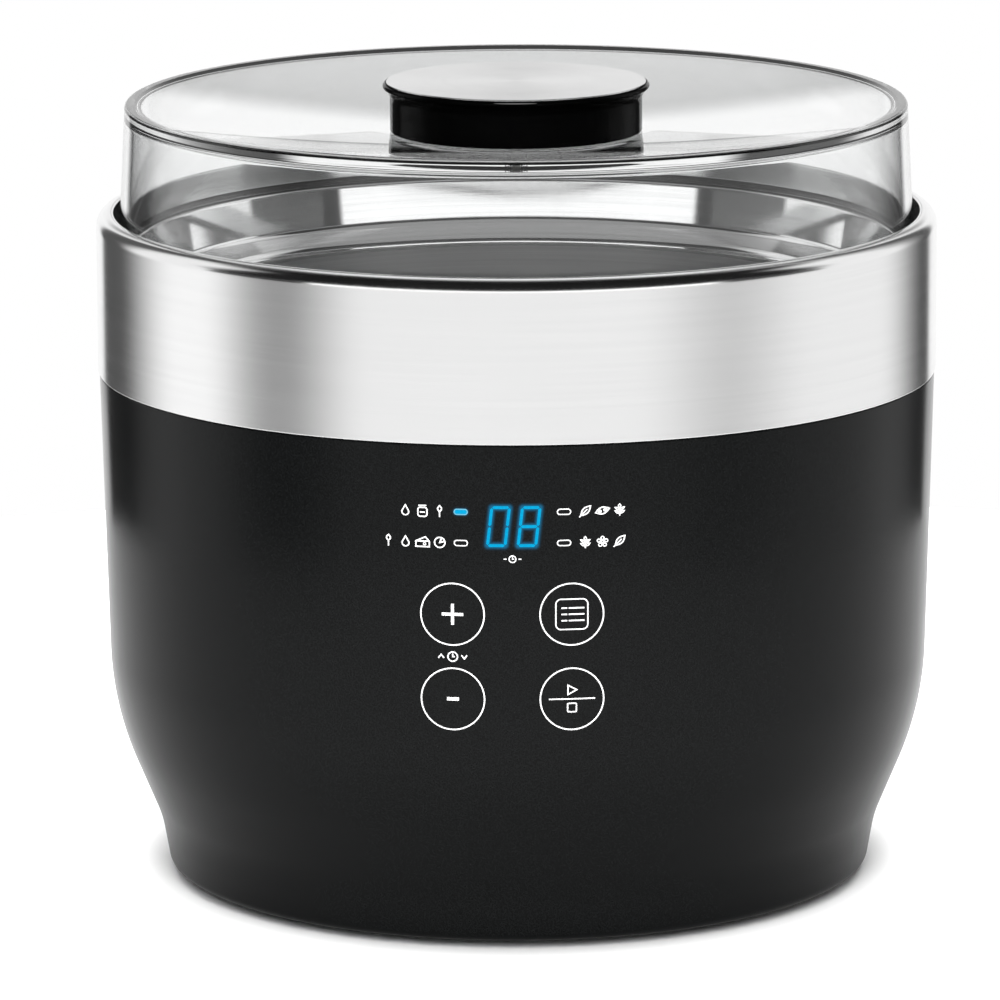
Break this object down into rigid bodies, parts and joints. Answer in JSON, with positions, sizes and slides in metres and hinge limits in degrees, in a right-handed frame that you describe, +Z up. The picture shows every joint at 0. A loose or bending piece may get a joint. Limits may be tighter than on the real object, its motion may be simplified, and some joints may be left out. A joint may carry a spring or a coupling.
{
  "type": "yogurt maker",
  "caption": "Round countertop yogurt maker with a black body, a brushed steel band and well, a front touch panel and a clear lift-off lid with a knob.",
  "frame": {"origin": "on the turning axis, at the level that the feet rest on", "axes": "+Z up along the turning axis, -Y towards the touch panel, +X to the user's right"},
  "size_m": [0.22, 0.22, 0.2105],
  "materials": {
    "satin_black": "satin moulded plastic with a fine grain",
    "brushed_steel": "stainless steel brushed round the band",
    "tub_steel": "stainless steel brushed round the well",
    "zinc_steel": "zinc-plated steel",
    "aluminium": "rolled aluminium",
    "clear_plastic": "clear polished plastic",
    "gloss_black": "high gloss",
    "black_rubber": "matt",
    "orange_silicone": "matt silicone",
    "board_green": "coated circuit board",
    "transformer_core": "varnished winding tape",
    "lead_red": "insulated wire",
    "ribbon_grey": "insulated wire",
    "panel_print": "white screen print",
    "display_light": "lit blue"
  },
  "bodies": {
    "base": {"base_plate": "satin_black", "base_screw_1": "zinc_steel", "base_screw_2": "zinc_steel", "base_screw_3": "zinc_steel", "base_screw_4": "zinc_steel", "capacitor": "satin_black", "control_board": "board_green", "control_screw_1": "zinc_steel", "control_screw_2": "zinc_steel", "control_screw_3": "zinc_steel", "control_screw_4": "zinc_steel", "cord_gland": "black_rubber", "display_module": "satin_black", "foot_1": "black_rubber", "foot_2": "black_rubber", "foot_3": "black_rubber", "foot_4": "black_rubber", "fuse_clip": "zinc_steel", "heat_shield": "zinc_steel", "heater_lead_1": "lead_red", "heater_lead_2": "lead_red", "heater_mat": "orange_silicone", "heater_nut_1": "zinc_steel", "heater_nut_2": "zinc_steel", "heater_nut_3": "zinc_steel", "heater_plate": "aluminium", "heater_stud_1": "zinc_steel", "heater_stud_2": "zinc_steel", "heater_stud_3": "zinc_steel", "heating_tub": "tub_steel", "led_guide_1": "clear_plastic", "led_guide_2": "clear_plastic", "led_guide_3": "clear_plastic", "led_guide_4": "clear_plastic", "outer_housing": "satin_black", "power_board": "board_green", "power_screw_1": "zinc_steel", "power_screw_2": "zinc_steel", "relay": "satin_black", "ribbon_cable": "ribbon_grey", "sensor_holder": "satin_black", "sensor_lead": "ribbon_grey", "sensor_spring": "zinc_steel", "steel_band": "brushed_steel", "temperature_sensor": "aluminium", "terminal_block": "board_green", "thermal_fuse": "ribbon_grey", "top_collar": "satin_black", "touch_spring_1": "zinc_steel", "touch_spring_2": "zinc_steel", "touch_spring_3": "zinc_steel", "touch_spring_4": "zinc_steel", "transformer": "transformer_core", "tub_gasket": "black_rubber"},
    "lid": {"lid_cover": "clear_plastic", "lid_knob": "gloss_black", "knob_inlay": "brushed_steel", "knob_screw": "zinc_steel", "knob_washer": "black_rubber"}
  },
  "joints": [
    {"name": "lid_lift", "type": "slide", "parent": "base", "child": "lid", "axis": [0, 0, 1], "range_m": [0, 0.08]}
  ]
}
